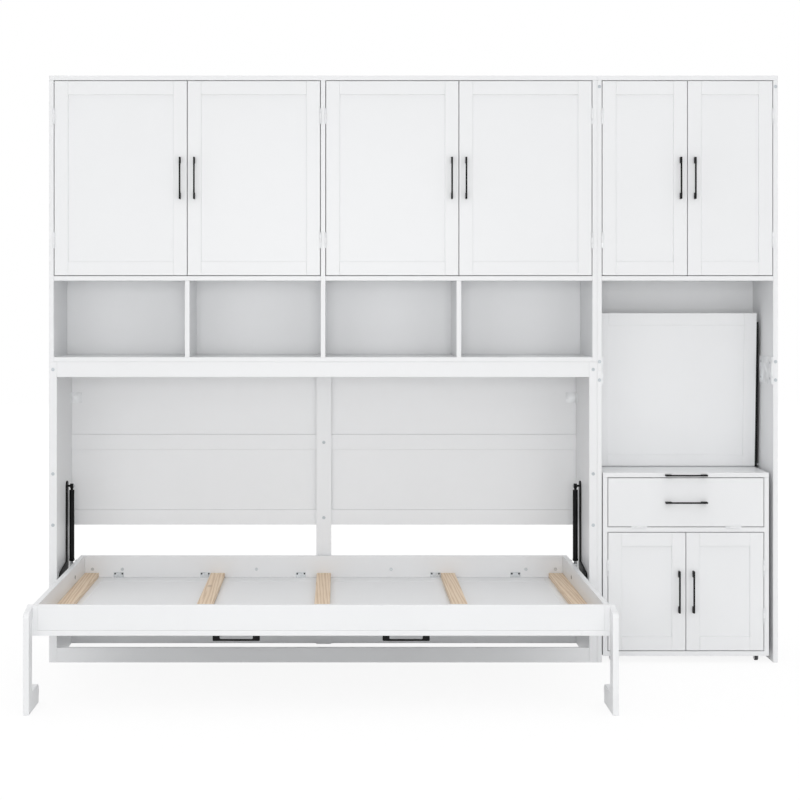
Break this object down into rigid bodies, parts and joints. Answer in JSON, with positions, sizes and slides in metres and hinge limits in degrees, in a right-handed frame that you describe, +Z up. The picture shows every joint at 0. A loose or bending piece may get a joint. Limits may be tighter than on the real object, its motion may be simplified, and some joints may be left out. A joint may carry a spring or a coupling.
{
  "type": "wall bed with fold down desk",
  "caption": "White wall bed that lowers sideways from a cabinet, with swinging legs, gas struts, a cupboard and shelf hutch, and a tower with a fold-down desk leaf over a rolling cupboard.",
  "frame": {"origin": "on the floor, in the middle of the whole footprint with the bed lowered", "axes": "+X to the right seen from the front, -Y towards the front, +Z up"},
  "size_m": [2.782, 1.123, 2.24],
  "materials": {
    "white_board": "satin white paint on board",
    "pine": "bare planed pine with darker grain",
    "black_metal": "satin black powder coat",
    "white_metal": "satin white paint on sheet steel",
    "bright_steel": "zinc-plated steel",
    "grey_cap": "pale grey moulded caps",
    "wheel_plastic": "black moulded wheel"
  },
  "bodies": {
    "cabinet": {"bay_sides": "white_board", "bay_front_rails": "white_board", "bay_back_frame": "white_board", "bay_back_panels": "white_board", "hutch_sides": "white_board", "hutch_top": "white_board", "hutch_mid_shelf": "white_board", "hutch_bottom": "white_board", "hutch_dividers": "white_board", "hutch_back": "white_board", "tower_left_side": "white_board", "tower_right_side": "white_board", "tower_top": "white_board", "tower_mid_shelf": "white_board", "tower_back": "white_board", "joining_plates": "white_metal", "screw_caps": "grey_cap", "case_hinge_leaves": "white_metal", "desk_pivot_pins": "bright_steel", "lift_brackets": "black_metal"},
    "bed": {"bed_side_boards": "white_board", "bed_front_rail": "white_board", "bed_back_rail": "white_board", "bed_base": "white_board", "bed_slats": "pine", "bed_handles": "black_metal", "bed_lift_plates": "black_metal", "bed_fittings": "bright_steel"},
    "left_leg": {"left_leg": "white_board"},
    "right_leg": {"right_leg": "white_board"},
    "left_strut_body": {"left_strut_body": "black_metal"},
    "left_strut_rod": {"left_strut_rod": "bright_steel"},
    "right_strut_body": {"right_strut_body": "black_metal"},
    "right_strut_rod": {"right_strut_rod": "bright_steel"},
    "hutch_door_1": {"hutch_door_1": "white_board", "hutch_handle_1": "black_metal"},
    "hutch_door_2": {"hutch_door_2": "white_board", "hutch_handle_2": "black_metal"},
    "hutch_door_3": {"hutch_door_3": "white_board", "hutch_handle_3": "black_metal"},
    "hutch_door_4": {"hutch_door_4": "white_board", "hutch_handle_4": "black_metal"},
    "tower_door_1": {"tower_door_1": "white_board", "tower_handle_1": "black_metal"},
    "tower_door_2": {"tower_door_2": "white_board", "tower_handle_2": "black_metal"},
    "desk_leaf": {"desk_leaf": "white_board", "desk_leaf_channel": "black_metal"},
    "trolley": {"trolley_case": "white_board", "trolley_top": "white_board", "trolley_hinge_leaves": "white_metal", "trolley_pull": "black_metal"},
    "trolley_door_left": {"trolley_door_left": "white_board", "trolley_handle_left": "black_metal"},
    "trolley_door_right": {"trolley_door_right": "white_board", "trolley_handle_right": "black_metal"},
    "trolley_flap": {"trolley_flap": "white_board", "flap_handle": "black_metal"},
    "front_casters": {"front_casters": "wheel_plastic"},
    "rear_casters": {"rear_casters": "wheel_plastic"}
  },
  "joints": [
    {"name": "bed_fold", "type": "hinge", "parent": "cabinet", "child": "bed", "pos_m": [-0.345, 0.264, 0.3145], "axis": [-1, 0, 0], "range_deg": [0, 90]},
    {"name": "left_leg_swing", "type": "hinge", "parent": "bed", "child": "left_leg", "pos_m": [-1.3293, -0.4865, 0.332], "axis": [1, 0, 0], "range_deg": [0, 90]},
    {"name": "left_strut_swing", "type": "hinge", "parent": "cabinet", "child": "left_strut_body", "pos_m": [-1.34, 0.4195, 0.648], "axis": [-1, 0, 0], "range_deg": [0, 15.32]},
    {"name": "left_strut_slide", "type": "slide", "parent": "left_strut_body", "child": "left_strut_rod", "axis": [0, 0, -1], "range_m": [0, 0.19504]},
    {"name": "right_leg_swing", "type": "hinge", "parent": "bed", "child": "right_leg", "pos_m": [0.6393, -0.4865, 0.332], "axis": [1, 0, 0], "range_deg": [0, 90]},
    {"name": "right_strut_swing", "type": "hinge", "parent": "cabinet", "child": "right_strut_body", "pos_m": [0.65, 0.4195, 0.648], "axis": [-1, 0, 0], "range_deg": [0, 15.32]},
    {"name": "right_strut_slide", "type": "slide", "parent": "right_strut_body", "child": "right_strut_rod", "axis": [0, 0, -1], "range_m": [0, 0.19504]},
    {"name": "hutch_door_1_swing", "type": "hinge", "parent": "cabinet", "child": "hutch_door_1", "pos_m": [-1.37175, 0.1999, 1.8485], "axis": [0, 0, -1], "range_deg": [0, 90]},
    {"name": "hutch_door_2_swing", "type": "hinge", "parent": "cabinet", "child": "hutch_door_2", "pos_m": [-0.35525, 0.1999, 1.8485], "axis": [0, 0, 1], "range_deg": [0, 85]},
    {"name": "hutch_door_3_swing", "type": "hinge", "parent": "cabinet", "child": "hutch_door_3", "pos_m": [-0.33475, 0.1999, 1.8485], "axis": [0, 0, -1], "range_deg": [0, 85]},
    {"name": "hutch_door_4_swing", "type": "hinge", "parent": "cabinet", "child": "hutch_door_4", "pos_m": [0.68175, 0.1999, 1.8485], "axis": [0, 0, 1], "range_deg": [0, 90]},
    {"name": "tower_door_1_swing", "type": "hinge", "parent": "cabinet", "child": "tower_door_1", "pos_m": [0.72025, 0.1999, 1.8485], "axis": [0, 0, -1], "range_deg": [0, 90]},
    {"name": "tower_door_2_swing", "type": "hinge", "parent": "cabinet", "child": "tower_door_2", "pos_m": [1.37175, 0.1999, 1.8485], "axis": [0, 0, 1], "range_deg": [0, 90]},
    {"name": "desk_leaf_fold", "type": "hinge", "parent": "cabinet", "child": "desk_leaf", "pos_m": [1.046, 0.4185, 0.7343], "axis": [1, 0, 0], "range_deg": [0, 87]},
    {"name": "trolley_slide", "type": "slide", "parent": "cabinet", "child": "trolley", "axis": [0, -1, 0], "range_m": [0, 0.42]},
    {"name": "trolley_door_left_swing", "type": "hinge", "parent": "trolley", "child": "trolley_door_left", "pos_m": [0.74225, 0.1999, 0.2705], "axis": [0, 0, -1], "range_deg": [0, 90]},
    {"name": "trolley_door_right_swing", "type": "hinge", "parent": "trolley", "child": "trolley_door_right", "pos_m": [1.33775, 0.1999, 0.2705], "axis": [0, 0, 1], "range_deg": [0, 90]},
    {"name": "trolley_flap_fold", "type": "hinge", "parent": "trolley", "child": "trolley_flap", "pos_m": [1.04, 0.1999, 0.51725], "axis": [1, 0, 0], "range_deg": [0, 90]},
    {"name": "front_casters_roll", "type": "hinge", "parent": "trolley", "child": "front_casters", "pos_m": [1.04, 0.2435, 0.011], "axis": [1, 0, 0], "continuous": true},
    {"name": "rear_casters_roll", "type": "hinge", "parent": "trolley", "child": "rear_casters", "pos_m": [1.04, 0.4435, 0.011], "axis": [1, 0, 0], "continuous": true}
  ],
  "couplings": [
    {"joint": "left_leg_swing", "follows": "bed_fold", "ratio": 1},
    {"joint": "left_strut_swing", "follows": "bed_fold", "ratio": 0.17027},
    {"joint": "left_strut_slide", "follows": "bed_fold", "m_per_rad": 0.12416},
    {"joint": "right_leg_swing", "follows": "bed_fold", "ratio": 1},
    {"joint": "right_strut_swing", "follows": "bed_fold", "ratio": 0.17027},
    {"joint": "right_strut_slide", "follows": "bed_fold", "m_per_rad": 0.12416}
  ]
}
